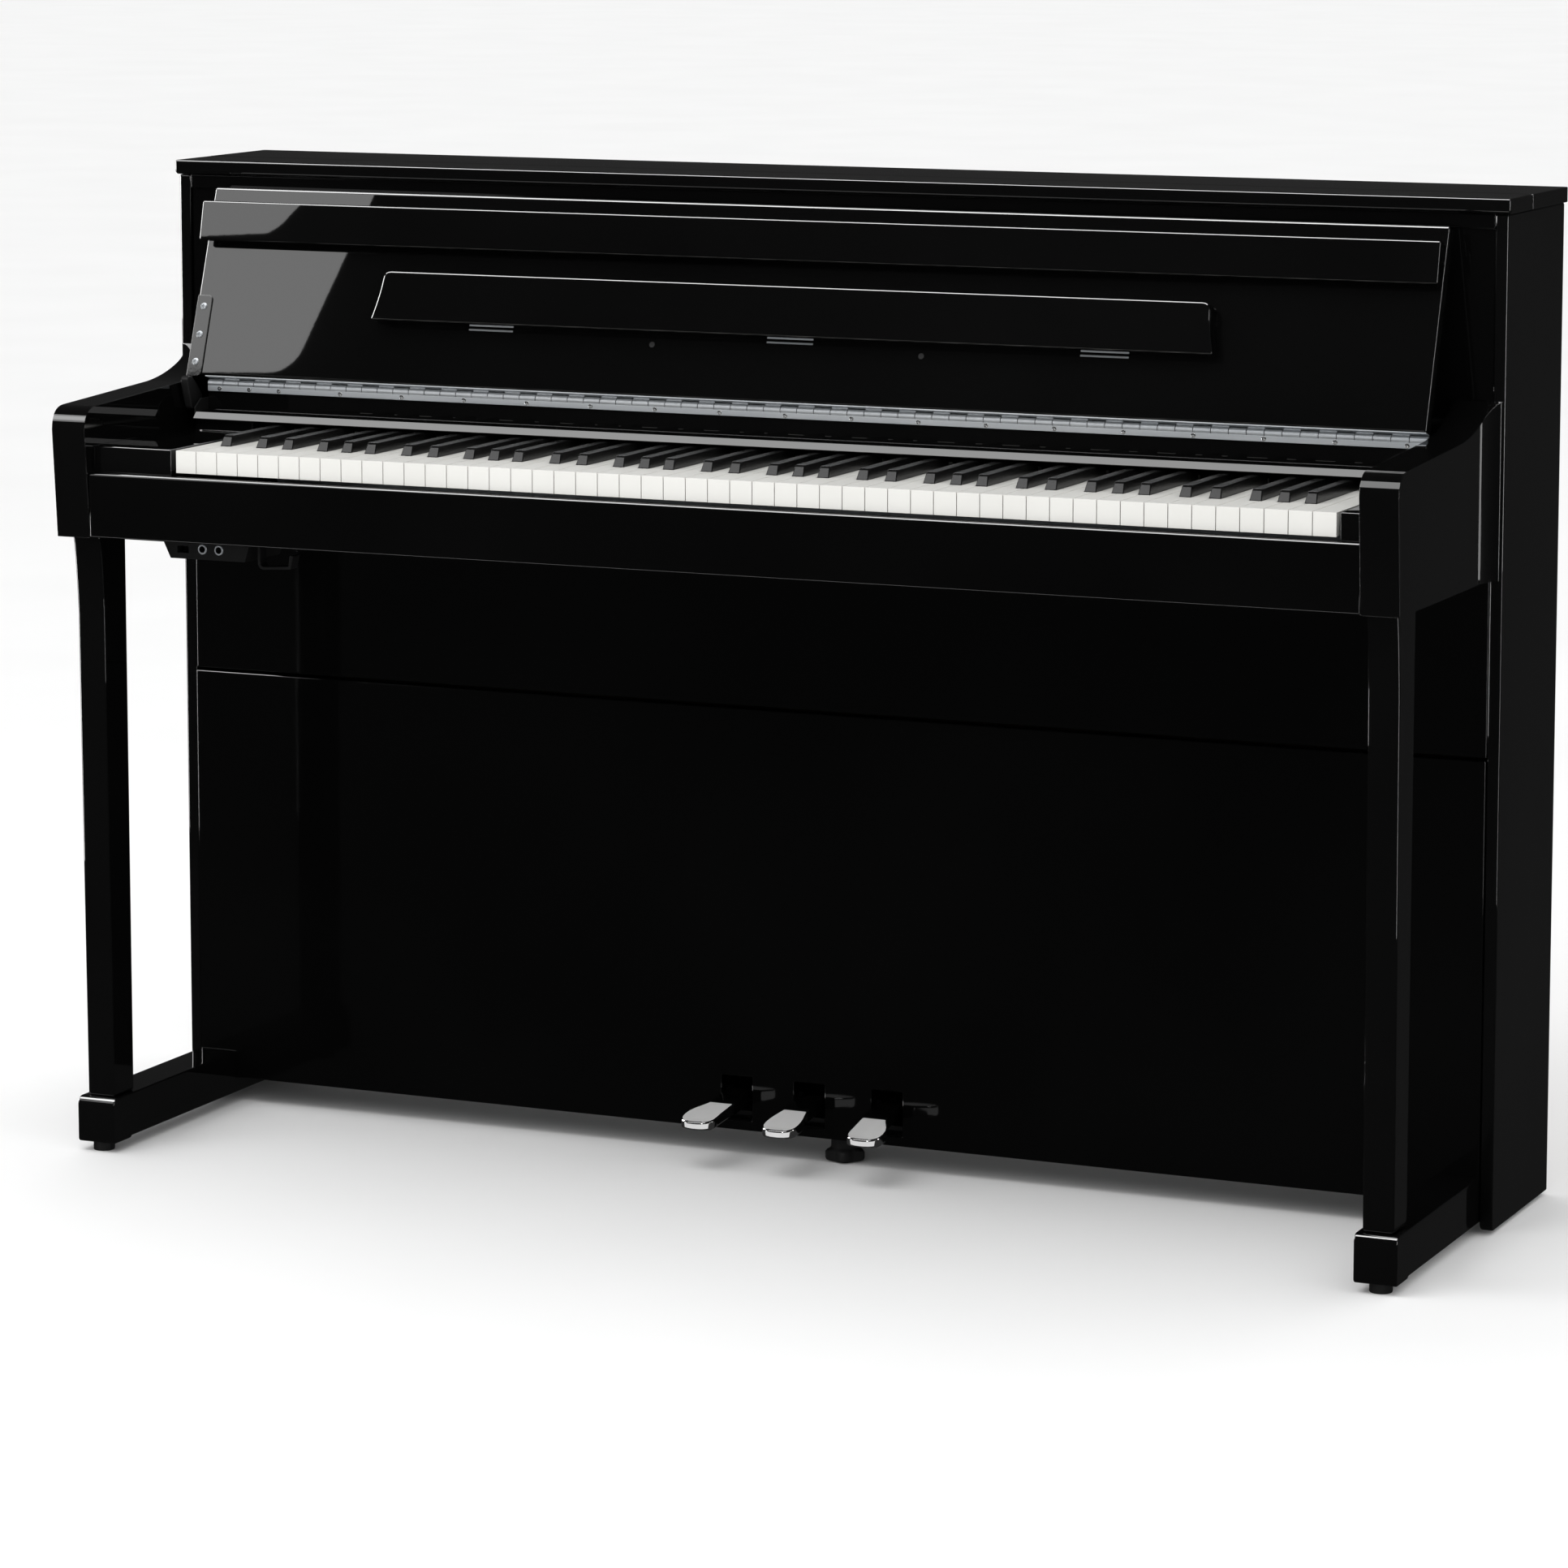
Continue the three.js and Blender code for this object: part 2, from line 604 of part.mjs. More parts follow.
// Soft-fall gear at the left end: bracket plate on the cover, lever below it, damper behind.
const plateOutline = new THREE.Shape();
plateOutline.moveTo(-670.2, 3.6);
plateOutline.lineTo(-659, 3.6);
plateOutline.absarc(-659, 9.6, 6, -Math.PI / 2, 0);
plateOutline.lineTo(-653, 85);
plateOutline.absarc(-658, 85, 5, 0, Math.PI / 2);
plateOutline.lineTo(-670.2, 90);
add('lid_bracket_plate', alongY(plateOutline, LID_INNER - 1.4, LID_INNER - GAP), steel, lid);

// The lever's side outline, from the hinge axis: a leaning wedge, deepest near its lower end.
const leverShape = new THREE.Shape();
leverShape.moveTo(-24, 4);
leverShape.quadraticCurveTo(-23.5, 8.5, -19, 8.5);
leverShape.quadraticCurveTo(-14, 8, -10, 4);
leverShape.quadraticCurveTo(0, -4, 6, -13);
leverShape.quadraticCurveTo(7.5, -17, 3, -20);
leverShape.lineTo(-8, -25.5);
leverShape.quadraticCurveTo(-13, -28, -15.5, -23.5);
leverShape.quadraticCurveTo(-21.5, -10, -24, 4);
const lever = alongX(leverShape, -670, -661, 8);
lever.translate(0, HINGE_Y, HINGE_Z);
add('damper_lever', lever, rubber);

const damperPlate = outline([[156, 746], [222, 746], [222, 762.5], [199, 762.5], [199, 765], [168, 765], [156, 757]]);
const damper = joined(
  alongX(damperPlate, NOTCH - 1.9, NOTCH - GAP),
  rod(7, NOTCH - 1, -600, 212, 754, 16),
);
add('soft_fall_damper', damper, satinBlack);

// ---- under the key bed ----

const JACK_FRONT = 20;
const JACK_TOP = BED_UNDER - GAP;
const JACK_UNDER = 619;
const jackOutline = outline([[-612, JACK_TOP], [-602, JACK_UNDER], [-516, JACK_UNDER], [-510, JACK_TOP]]);
const jackHole = (x, radius) => (
  new THREE.CylinderGeometry(radius, radius, 30, 16).translate(x, JACK_FRONT + 10, 629.5)
);
const usbHole = box(-594, -581, JACK_FRONT - 2, JACK_FRONT + 14, 625, 632);
const jackBody = alongY(jackOutline, JACK_FRONT, JACK_FRONT + 72);
add('jack_box', cutFrom(jackBody, usbHole, jackHole(-565, 3.4), jackHole(-546, 3.4)), satinBlack);

// Headphone hook: a flat strip bent into a J.
function headphoneHook() {
  const shape = new THREE.Shape();
  shape.moveTo(-504, BED_UNDER - GAP);
  shape.lineTo(-504, 619);
  shape.absarc(-497, 619, 7, Math.PI, 1.5 * Math.PI);
  shape.lineTo(-466, 614);
  shape.lineTo(-463, 628);
  shape.lineTo(-467, 628);
  shape.lineTo(-469, 617);
  shape.lineTo(-495, 615);
  shape.absarc(-496, 620, 5, 1.5 * Math.PI, Math.PI, true);
  shape.lineTo(-501, BED_UNDER - GAP);
  return alongY(shape, JACK_FRONT + 4, JACK_FRONT + 18, 5);
}
add('headphone_hook', headphoneHook(), satinBlack);

// ---- pedals ----

// Pedal box: a base plate on the bottom board, with cheeks that hold the pedals' axles.
const AXLE_R = 4;
const CHEEKS = [-125, -44, 38, 119];
const CHEEK = 6;
function pedalBox() {
  const floor = BOARD_TOP + GAP;
  const base = box(-125, 125, LOWER_REAR + 1, 345, floor, floor + 5);
  const wall = box(-125, 125, 341, 345, floor, 96);
  const cheeks = CHEEKS.map((x) => box(x, x + CHEEK, 290, 345, floor, 96));
  const bore = rod(AXLE_R + 0.3, -130, 130, PEDAL_PIVOT_Y, PEDAL_PIVOT_Z, 16);
  const body = [base, wall, ...cheeks].map(solid).reduce((a, b) => a.add(b));
  return shell(body.subtract(solid(bore)));
}
add('pedal_box', pedalBox(), satinBlack);

// A pedal: a thin toe that widens to the front, on a straight bar that runs back to its pivot.
function pedal(middle, bend, low, high) {
  const plan = new THREE.Shape();
  const toe = middle + bend;
  plan.moveTo(middle - 12, 335);
  plan.lineTo(middle - 12, 232);
  plan.bezierCurveTo(middle - 13, 212, toe - 19, 205, toe - 19, 186);
  plan.bezierCurveTo(toe - 19, 170, toe - 10, 166, toe, 166);
  plan.bezierCurveTo(toe + 10, 166, toe + 19, 170, toe + 19, 186);
  plan.bezierCurveTo(toe + 19, 205, middle + 13, 212, middle + 12, 232);
  plan.lineTo(middle + 12, 335);
  const side = outline([
    [160, 46],
    [175, 45],
    [225, 52],
    [250, 55],
    [335, 55],
    [335, 69],
    [250, 69],
    [228, 65],
    [175, 55],
    [160, 53],
  ]);
  const body = solid(alongZ(plan, 30, 90, 6));
  const bar = body.intersect(solid(alongX(side, middle - 60, middle + 60)));
  const reach = CHEEK / 2 - 0.6;
  const axle = rod(AXLE_R, low - reach, high + reach, PEDAL_PIVOT_Y, PEDAL_PIVOT_Z, 16);
  return shell(bar.add(solid(axle)));
}
['left', 'middle', 'right'].forEach((where, i) => {
  const low = CHEEKS[i] + CHEEK;
  const high = CHEEKS[i + 1];
  add(`${where}_pedal`, pedal(PEDAL_X[i], PEDAL_BEND[i], low, high), nickel);
});

// Adjuster: a lobed knob on a screw, turned down from the bottom board until it meets the floor.
const SCREW_R = 5;
const boardPlate = box(-PANEL_HALF, PANEL_HALF, LOWER_REAR + GAP, BACK_FRONT - GAP, BOARD_UNDER, BOARD_TOP);
const screwHole = post(SCREW_R + 0.5, ADJUSTER_X, ADJUSTER_Y, BOARD_UNDER - 5, BOARD_TOP + 5);
add('bottom_board', cutFrom(boardPlate, screwHole), fibreboard);

function pedalAdjuster() {
  const lobes = 6;
  const shape = new THREE.Shape();
  const steps = 36;
  for (let i = 0; i < steps; i += 1) {
    const turn = (i / steps) * 2 * Math.PI;
    const radius = 19 + 2 * Math.cos(lobes * turn);
    const x = ADJUSTER_X + radius * Math.cos(turn);
    const y = ADJUSTER_Y + radius * Math.sin(turn);
    if (i === 0) shape.moveTo(x, y);
    else shape.lineTo(x, y);
  }
  const grip = alongZ(shape, 1, 15);
  const boss = post(14, ADJUSTER_X, ADJUSTER_Y, 14, BOARD_UNDER - 1);
  const screw = post(SCREW_R, ADJUSTER_X, ADJUSTER_Y, 20, BOARD_TOP - 2);
  return joined(grip, boss, screw);
}
add('pedal_adjuster', pedalAdjuster(), rubber);

// ---- inside the case ----

// Circuit board on stand-offs in front of the back panel.
function circuitBoard() {
  const corners = [[-320, 700], [-100, 700], [-320, 820], [-100, 820]];
  const posts = corners.map(([x, z]) => box(x - 3, x + 3, 421, BACK_FRONT - GAP, z - 3, z + 3));
  return joined(box(-330, -90, 420, 421.6, 690, 830), ...posts);
}
add('main_circuit_board', circuitBoard(), board);

// Speakers behind the knee panel; a lathe turns about Y, so the cone runs back from its flange.
addPair('speaker', (side) => {
  const profile = [[0, 0], [70, 0], [78, 4], [78, 9], [66, 9], [38, 46], [36, 72], [0, 72]];
  const points = profile.map(([r, h]) => new THREE.Vector2(r, h));
  return new THREE.LatheGeometry(points, 24).translate(side * 440, KNEE_REAR + GAP, KNEE_UNDER + 85);
}, satinBlack);

// ---- origin: middle of the footprint, on the floor ----

const ARM_FRONT = -28;
piano.position.y = -(CASE_REAR + ARM_FRONT) / 2;

export default piano;
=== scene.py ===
"""Upright digital piano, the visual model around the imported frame. Metres, in the frame's own axes."""

import json
import math

import bmesh
import bpy
from mathutils import Matrix, Vector


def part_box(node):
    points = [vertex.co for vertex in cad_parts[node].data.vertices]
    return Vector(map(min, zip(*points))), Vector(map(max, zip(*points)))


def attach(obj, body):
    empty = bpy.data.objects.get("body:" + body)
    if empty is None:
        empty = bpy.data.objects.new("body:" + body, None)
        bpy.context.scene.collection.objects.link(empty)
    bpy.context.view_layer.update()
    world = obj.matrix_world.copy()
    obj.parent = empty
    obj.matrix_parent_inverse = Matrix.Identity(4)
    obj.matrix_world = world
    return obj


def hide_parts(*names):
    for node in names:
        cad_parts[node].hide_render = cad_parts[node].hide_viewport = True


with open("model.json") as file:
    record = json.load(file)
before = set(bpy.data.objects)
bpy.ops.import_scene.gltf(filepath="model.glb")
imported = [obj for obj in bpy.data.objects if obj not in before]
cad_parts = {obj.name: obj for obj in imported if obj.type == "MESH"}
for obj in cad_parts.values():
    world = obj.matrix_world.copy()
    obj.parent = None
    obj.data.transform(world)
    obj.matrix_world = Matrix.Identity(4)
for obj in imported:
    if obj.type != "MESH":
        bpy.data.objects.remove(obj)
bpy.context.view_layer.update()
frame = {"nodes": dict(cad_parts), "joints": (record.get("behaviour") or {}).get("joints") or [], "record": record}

MM = 0.001
BODY_OF = {n: b for b, members in frame["record"]["behaviour"]["bodies"].items() for n in members}
SLOT_OF = {s["node"]: s["material_slot"] for s in frame["record"]["subparts"]}
JOINTS = {j["name"]: j for j in frame["joints"]}


# ---- materials ----


def make_material(name, dark, light, rough, grain, *, metal=0.0, specular=0.5, bump=0.0, fine=400.0,
                  stretch=(1, 1, 1)):
    """A shader whose colour and roughness wander with a soft noise, with a finer noise for the bump."""
    mat = bpy.data.materials.new(name)
    mat.use_nodes = True
    nodes, links = mat.node_tree.nodes, mat.node_tree.links
    shader = nodes["Principled BSDF"]
    shader.inputs["Metallic"].default_value = metal
    shader.inputs["Specular IOR Level"].default_value = specular
    coords = nodes.new("ShaderNodeTexCoord")
    mapping = nodes.new("ShaderNodeMapping")
    mapping.inputs["Scale"].default_value = stretch
    links.new(coords.outputs["Object"], mapping.inputs["Vector"])
    soft = nodes.new("ShaderNodeTexNoise")
    soft.inputs["Scale"].default_value = grain
    soft.inputs["Detail"].default_value = 5
    links.new(mapping.outputs["Vector"], soft.inputs["Vector"])
    ramp = nodes.new("ShaderNodeValToRGB")
    ramp.color_ramp.elements[0].position = 0.3
    ramp.color_ramp.elements[1].position = 0.7
    ramp.color_ramp.elements[0].color = (*dark, 1)
    ramp.color_ramp.elements[1].color = (*light, 1)
    links.new(soft.outputs["Fac"], ramp.inputs["Fac"])
    links.new(ramp.outputs["Color"], shader.inputs["Base Color"])
    sheen = nodes.new("ShaderNodeMapRange")
    sheen.inputs["To Min"].default_value = rough[0]
    sheen.inputs["To Max"].default_value = rough[1]
    links.new(soft.outputs["Fac"], sheen.inputs["Value"])
    links.new(sheen.outputs["Result"], shader.inputs["Roughness"])
    if bump:
        grit = nodes.new("ShaderNodeTexNoise")
        grit.inputs["Scale"].default_value = fine
        grit.inputs["Detail"].default_value = 3
        links.new(mapping.outputs["Vector"], grit.inputs["Vector"])
        relief = nodes.new("ShaderNodeBump")
        relief.inputs["Strength"].default_value = bump
        relief.inputs["Distance"].default_value = 0.0004
        links.new(grit.outputs["Fac"], relief.inputs["Height"])
        links.new(relief.outputs["Normal"], shader.inputs["Normal"])
    return mat


def grey(value, warm=0.0):
    return (value * (1 + warm), value, value * (1 - warm))


LACQUER = make_material("black_lacquer", grey(0.0012), grey(0.0022), (0.008, 0.016), 3.0, bump=0.003,
                        fine=90.0)
PANEL = make_material("panel_lacquer", grey(0.0009), grey(0.0017), (0.04, 0.08), 3.0, specular=0.35,
                      bump=0.006, fine=90.0)
SATIN = make_material("satin_black", grey(0.006), grey(0.011), (0.28, 0.38), 12.0, bump=0.12, fine=900.0)
IVORY = make_material("key_white", (0.69, 0.685, 0.655), (0.73, 0.725, 0.695), (0.2, 0.28), 8.0,
                      specular=0.45, bump=0.02)
EBONY = make_material("key_black", grey(0.003), grey(0.006), (0.2, 0.28), 20.0, bump=0.15, fine=700.0,
                      stretch=(1, 0.15, 1))
STEEL = make_material("satin_steel", (0.46, 0.49, 0.52), (0.64, 0.66, 0.68), (0.3, 0.42), 40.0, metal=0.75,
                      bump=0.1, fine=300.0, stretch=(0.05, 1, 1))
# Pale, part-matt nickel: its brightness is a painted sheen that stands in for overhead light on the pedal tops.
NICKEL_PAINTED_SHEEN = make_material("nickel_with_painted_sheen", grey(0.84, 0.005), grey(0.92, 0.005), (0.12, 0.2), 30.0,
                       metal=0.35, bump=0.03, stretch=(1, 0.2, 1))
CHROME = make_material("bright_nickel", grey(0.74), grey(0.82), (0.05, 0.09), 30.0, metal=1.0, bump=0.02)
RUBBER = make_material("black_rubber", grey(0.008), grey(0.014), (0.42, 0.6), 60.0, bump=0.25, fine=1200.0)
HARDBOARD = make_material("hardboard", (0.10, 0.065, 0.04), (0.16, 0.11, 0.07), (0.65, 0.85), 90.0, bump=0.4,
                          fine=1500.0)
CIRCUIT = make_material("circuit_green", (0.01, 0.09, 0.04), (0.02, 0.14, 0.07), (0.3, 0.4), 50.0, bump=0.1)
BRACKET = make_material("painted_steel", grey(0.002), grey(0.004), (0.03, 0.06), 50.0, bump=0.02)

SLOT_MATERIAL = {
    "lacquered_wood": LACQUER,
    "satin_black": SATIN,
    "key_white": IVORY,
    "key_black": EBONY,
    "satin_steel": STEEL,
    "nickel": NICKEL_PAINTED_SHEEN,
    "rubber_black": RUBBER,
    "fibreboard": HARDBOARD,
    "board_green": CIRCUIT,
}


# ---- mesh helpers ----

SAME_POINT = 2e-6
FLAT_ANGLE = math.radians(0.5)


def to_object(name, bm, material, body, *, smooth=35.0):
    """Turns a bmesh into a piece that rides on a body and wears the given material."""
    mesh = bpy.data.meshes.new(name)
    bmesh.ops.recalc_face_normals(bm, faces=bm.faces)
    bm.to_mesh(mesh)
    bm.free()
    mesh.materials.append(material)
    obj = bpy.data.objects.new(name, mesh)
    bpy.context.scene.collection.objects.link(obj)
    mesh.polygons.foreach_set("use_smooth", [True] * len(mesh.polygons))
    mesh.set_sharp_from_angle(angle=math.radians(smooth))
    weighted = obj.modifiers.new("flat_faces_stay_flat", "WEIGHTED_NORMAL")
    weighted.weight = 100
    weighted.keep_sharp = True
    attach(obj, body)
    return obj


def round_edges(bm, width, segments=3, angle=28.0):
    """Bevels the edges where two faces meet at more than angle degrees."""
    limit = math.radians(angle)
    edges = [e for e in bm.edges if len(e.link_faces) == 2 and e.calc_face_angle(0) > limit]
    bmesh.ops.bevel(bm, geom=edges, offset=width, offset_type="OFFSET", segments=segments, profile=0.5,
                    affect="EDGES", clamp_overlap=True)


def finish_node(node, width, material=None):
    """A copy of a CAD node with its flat faces merged and its edges rounded, which stands for the node."""
    bm = bmesh.new()
    bm.from_mesh(frame["nodes"][node].data)
    bmesh.ops.remove_doubles(bm, verts=bm.verts, dist=SAME_POINT)
    bmesh.ops.dissolve_limit(bm, angle_limit=FLAT_ANGLE, verts=bm.verts, edges=bm.edges)
    round_edges(bm, width)
    slot = SLOT_OF[node]
    obj = to_object(f"{node}_finish", bm, material or SLOT_MATERIAL[slot], BODY_OF[node])
    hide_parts(node)


def bridge(bm, near, far):
    """A ring of four-sided faces between two loops with as many points."""
    for i in range(len(near)):
        j = (i + 1) % len(near)
        bm.faces.new((near[i], near[j], far[j], far[i]))


def add_box(bm, low, high):
    made = bmesh.ops.create_cube(bm, size=1.0)["verts"]
    low, high = Vector(low), Vector(high)
    size = high - low
    for v in made:
        v.co = Vector((v.co.x * size.x, v.co.y * size.y, v.co.z * size.z)) + (low + high) / 2


def add_prism(bm, outline, across, low, high):
    """Extrudes an outline of (u, v) points from low to high along the axis named by across."""
    order = {"x": (1, 2, 0), "y": (0, 2, 1), "z": (0, 1, 2)}[across]

    def place(point, along):
        co = [0.0, 0.0, 0.0]
        for axis, value in zip(order, (*point, along)):
            co[axis] = value
        return bm.verts.new(co)

    near = [place(p, low) for p in outline]
    far = [place(p, high) for p in outline]
    bm.faces.new(near)
    bm.faces.new(list(reversed(far)))
    for i in range(len(outline)):
        j = (i + 1) % len(outline)
        bm.faces.new((near[j], near[i], far[i], far[j]))


def add_rod(bm, radius, start, end, sides=20):
    start, end = Vector(start), Vector(end)
    axis = end - start
    turn = axis.to_track_quat("Z", "Y").to_matrix().to_4x4()
    matrix = Matrix.Translation((start + end) / 2) @ turn
    bmesh.ops.create_cone(bm, cap_ends=True, segments=sides, radius1=radius, radius2=radius,
                          depth=axis.length, matrix=matrix)


def add_screw(bm, at, normal, radius):
    """A low domed screw head with a cross recess. Profile and cross are in shares of the radius."""
    turn = Vector(normal).to_track_quat("Z", "Y").to_matrix().to_4x4()
    matrix = Matrix.Translation(Vector(at)) @ turn
    sides = 24

    def ring(points, height):
        return [bm.verts.new(matrix @ Vector((u * radius, v * radius, height * radius))) for u, v in points]

    def circle(share):
        turns = [2 * math.pi * i / sides for i in range(sides)]
        return [(share * math.cos(a), share * math.sin(a)) for a in turns]

    profile = ((1.0, 0.0), (0.98, 0.12), (0.88, 0.26), (0.72, 0.34))
    loops = [ring(circle(share), height) for share, height in profile]
    for lower, upper in zip(loops, loops[1:]):
        bridge(bm, lower, upper)
    bm.faces.new(list(reversed(loops[0])))
    reach, half = 0.52, 0.13
    quarter = [(half, half), (half, reach), (-half, reach)]
    cross = []
    for _ in range(4):
        cross += quarter
        quarter = [(-v, u) for u, v in quarter]
    mouth, floor = ring(cross, 0.36), ring(cross, 0.04)
    bridge(bm, floor, mouth)
    bm.faces.new(floor)
    rims = []
    for loop in (loops[-1], mouth):
        rims += [bm.edges.get((loop[i - 1], loop[i])) for i in range(len(loop))]
    bmesh.ops.triangle_fill(bm, edges=rims, use_beauty=True)


# ---- camera ----


def make_camera():
    cam = bpy.data.cameras.new("camera")
    cam.sensor_width = 36
    cam.lens = 129.6
    cam.shift_y = -0.15
    obj = bpy.data.objects.new("camera", cam)
    obj.location = (2.281, -5.0935, 1.374)
    obj.rotation_euler = (math.radians(90 - 7.51), 0, math.radians(24.18))
    bpy.context.scene.collection.objects.link(obj)
    bpy.context.scene.camera = obj


make_camera()


# ---- floor, sky and lights ----


def make_floor():
    bm = bmesh.new()
    bmesh.ops.create_grid(bm, x_segments=1, y_segments=1, size=400)
    mesh = bpy.data.meshes.new("floor")
    bm.to_mesh(mesh)
    bm.free()
    mesh.materials.append(make_material("pale_floor", grey(0.82), grey(0.84), (0.7, 0.8), 2.0, specular=0.1))
    floor = bpy.data.objects.new("floor", mesh)
    bpy.context.scene.collection.objects.link(floor)
    floor.visible_glossy = False


def make_sky():
    """White to the eye and to matt surfaces, dark in reflections, as a black-flagged studio is."""
    white, in_reflections = 1.2, 0.03
    world = bpy.data.worlds.new("studio")
    world.use_nodes = True
    nodes, links = world.node_tree.nodes, world.node_tree.links
    background = nodes["Background"]
    background.inputs["Color"].default_value = (1, 1, 1, 1)
    path = nodes.new("ShaderNodeLightPath")
    mix = nodes.new("ShaderNodeMix")
    mix.inputs["A"].default_value = white
    mix.inputs["B"].default_value = in_reflections
    links.new(path.outputs["Is Glossy Ray"], mix.inputs["Factor"])
    links.new(mix.outputs["Result"], background.inputs["Strength"])
    bpy.context.scene.world = world


def make_light(name, matrix, width, height, radiance, lights="polished"):
    """A rectangular light of the given brightness, seen in one kind of surface only."""
    data = bpy.data.lights.new(name, "AREA")
    data.shape = "RECTANGLE"
    data.size = width
    data.size_y = height
    data.energy = radiance * math.pi * width * height
    obj = bpy.data.objects.new(name, data)
    obj.matrix_world = matrix
    bpy.context.scene.collection.objects.link(obj)
    obj.visible_camera = False
    obj.visible_diffuse = lights == "matt"
    obj.visible_glossy = lights != "matt"
    if lights != "matt":
        obj.light_linking.receiver_collection = RECEIVERS[lights]
    return data


def softbox(name, centre, aim, width, height, radiance, lights="polished"):
    """A plain light at a centre that faces a point."""
    turn = (Vector(aim) - Vector(centre)).to_track_quat("-Z", "Y").to_matrix().to_4x4()
    make_light(name, Matrix.Translation(centre) @ turn, width, height, radiance, lights)


def mirror_softbox(name, corner, above, beside, normal, width, height, rounding, radiance):
    """
    A softbox that a flat polished face shows to the camera: its lower right corner at one point of the
    face, its right edge through the point above and its lower edge through the point beside.
    """
    eye = bpy.context.scene.camera.location
    away = 3.0  # metres from the face

    def mirrored(point):
        ray = (point - eye).normalized()
        return point + (ray - 2 * ray.dot(normal) * normal) * away

    origin, up, side = mirrored(corner), mirrored(above), mirrored(beside)
    x = (origin - side).normalized()
    z = origin - corner
    z = (z - x * z.dot(x)).normalized()
    y = z.cross(x)
    lean = (up - origin).dot(x) / (up - origin).dot(y)
    whole = width + lean * height
    centre = origin + x * (lean * height - whole / 2) + y * height / 2
    turn = Matrix((x, y, z)).transposed().to_4x4()
    data = make_light(name, Matrix.Translation(centre) @ turn, whole, height, radiance)
    mask_light(data, width, height, whole, lean, rounding)


def mask_light(data, width, height, whole, lean, rounding):
    """Puts a light out beyond a leaning rectangle with round corners."""
    data.use_nodes = True
    nodes, links = data.node_tree.nodes, data.node_tree.links

    def step(operation, *values):
        node = nodes.new("ShaderNodeMath")
        node.operation = operation
        for socket, value in zip(node.inputs, values):
            if isinstance(value, (int, float)):
                socket.default_value = value
            else:
                links.new(value, socket)
        return node.outputs[0]

    place = nodes.new("ShaderNodeNewGeometry")
    split = nodes.new("ShaderNodeSeparateXYZ")
    join = nodes.new("ShaderNodeCombineXYZ")
    length = nodes.new("ShaderNodeVectorMath")
    length.operation = "LENGTH"
    links.new(place.outputs["Parametric"], split.inputs[0])
    across = step("MULTIPLY", step("SUBTRACT", split.outputs["X"], 0.5), whole)
    up = step("MULTIPLY", step("SUBTRACT", split.outputs["Y"], 0.5), height)
    across = step("MULTIPLY_ADD", up, -lean, across)
    for axis, value, side in (("X", across, width), ("Y", up, height)):
        past = step("SUBTRACT", step("ABSOLUTE", value), side / 2 - rounding)
        links.new(step("MAXIMUM", step("DIVIDE", past, rounding), 0.0), join.inputs[axis])
    links.new(join.outputs[0], length.inputs[0])
    links.new(step("LESS_THAN", length.outputs["Value"], 1.0), nodes["Emission"].inputs["Strength"])


# ---- the open cover's frame ----

LEAN = math.radians(18.7)
LIP_TAPER = 4.0 / 36.4
LIP_LEAN = LEAN - math.atan(LIP_TAPER)
LID_FRONT = -12 * MM
hinge_at = Vector(JOINTS["key_cover_hinge"]["pos_m"])


def on_lid(x, y, z):
    """A point given in the open cover's own frame: z up its face, y into its thickness, from the hinge."""
    turned = Matrix.Rotation(-LEAN, 3, "X") @ Vector((0, y, z))
    return Vector((x, hinge_at.y + turned.y, hinge_at.z + turned.z))


def on_lip(x, z):
    """A point on the sloping front of the cover's lip."""
    return on_lid(x, -30 * MM - LIP_TAPER * (z - 147.5 * MM), z)


OUTWARD = on_lid(0, -1, 0) - on_lid(0, 0, 0)
LIP_OUTWARD = Vector((0, -math.cos(LIP_LEAN), math.sin(LIP_LEAN)))


# ---- studio ----

# Each light but the matt one shows only in the pieces of its group, which are sorted at the end of the
# file. All lacquer is polished; boards, sill and arms divide it, and rims are the arms and the slip.
RECEIVERS = {kind: bpy.data.collections.new(kind)
             for kind in ("polished", "boards", "sill", "arms", "metal", "toes", "satin", "rims")}

bpy.context.scene.view_settings.view_transform = "Standard"
make_floor()
make_sky()
mirror_softbox("lid_softbox", on_lid(-0.548, LID_FRONT, 0.012), on_lid(-0.4935, LID_FRONT, 0.148),
               on_lid(-0.65, LID_FRONT, 0.008), OUTWARD, 0.8, 0.9, 0.036, 3.6)
mirror_softbox("lip_softbox", on_lip(-0.583, 0.1545), on_lip(-0.560, 0.178), on_lip(-0.663, 0.149),
               LIP_OUTWARD, 0.5, 0.2, 0.016, 3.4)

# A level light aims a hair off the vertical, so that its sides keep their direction.
softbox("canopy", (-1.2, -0.65, 3.4), (-1.2, -0.6499, 0), 4.8, 1.7, 20.0, "boards")
softbox("sill_canopy", (-0.6, -1.2, 3.4), (-0.6, -1.1999, 0), 3.6, 3.0, 6.0, "sill")
softbox("arm_high", (-1.64, -3.0, 3.7), (-1.64, -0.1, 0.85), 3.8, 2.4, 5.0, "arms")
softbox("left_edge", (-1.95, -0.6, 0.52), (-0.7, -0.2, 0.52), 0.24, 0.96, 34.0)
softbox("right_edge", (1.95, -0.75, 0.52), (0.7, -0.2, 0.52), 0.12, 0.96, 20.0)
softbox("left_strip", (-3.0, -0.7, 1.4), (0, 0, 0.9), 1.0, 1.6, 32.0)
softbox("right_strip", (3.4, -1.2, 1.4), (0, 0, 0.7), 0.24, 2.4, 24.0)
softbox("floor_strip", (-0.8, -0.95, 0.02), (-0.8, -0.9499, 2), 4.0, 0.24, 8.0, "rims")
softbox("metal_front", (-1.6, -4.0, 1.3), (0, 0, 0.8), 4.0, 0.6, 3.0, "metal")
softbox("metal_top", (-0.9, -0.75, 3.0), (-0.9, -0.5, 0), 4.4, 1.6, 2.5, "metal")
softbox("metal_high", (-1.64, -3.0, 3.4), (-1.64, -0.1, 0.85), 3.8, 1.2, 1.8, "metal")
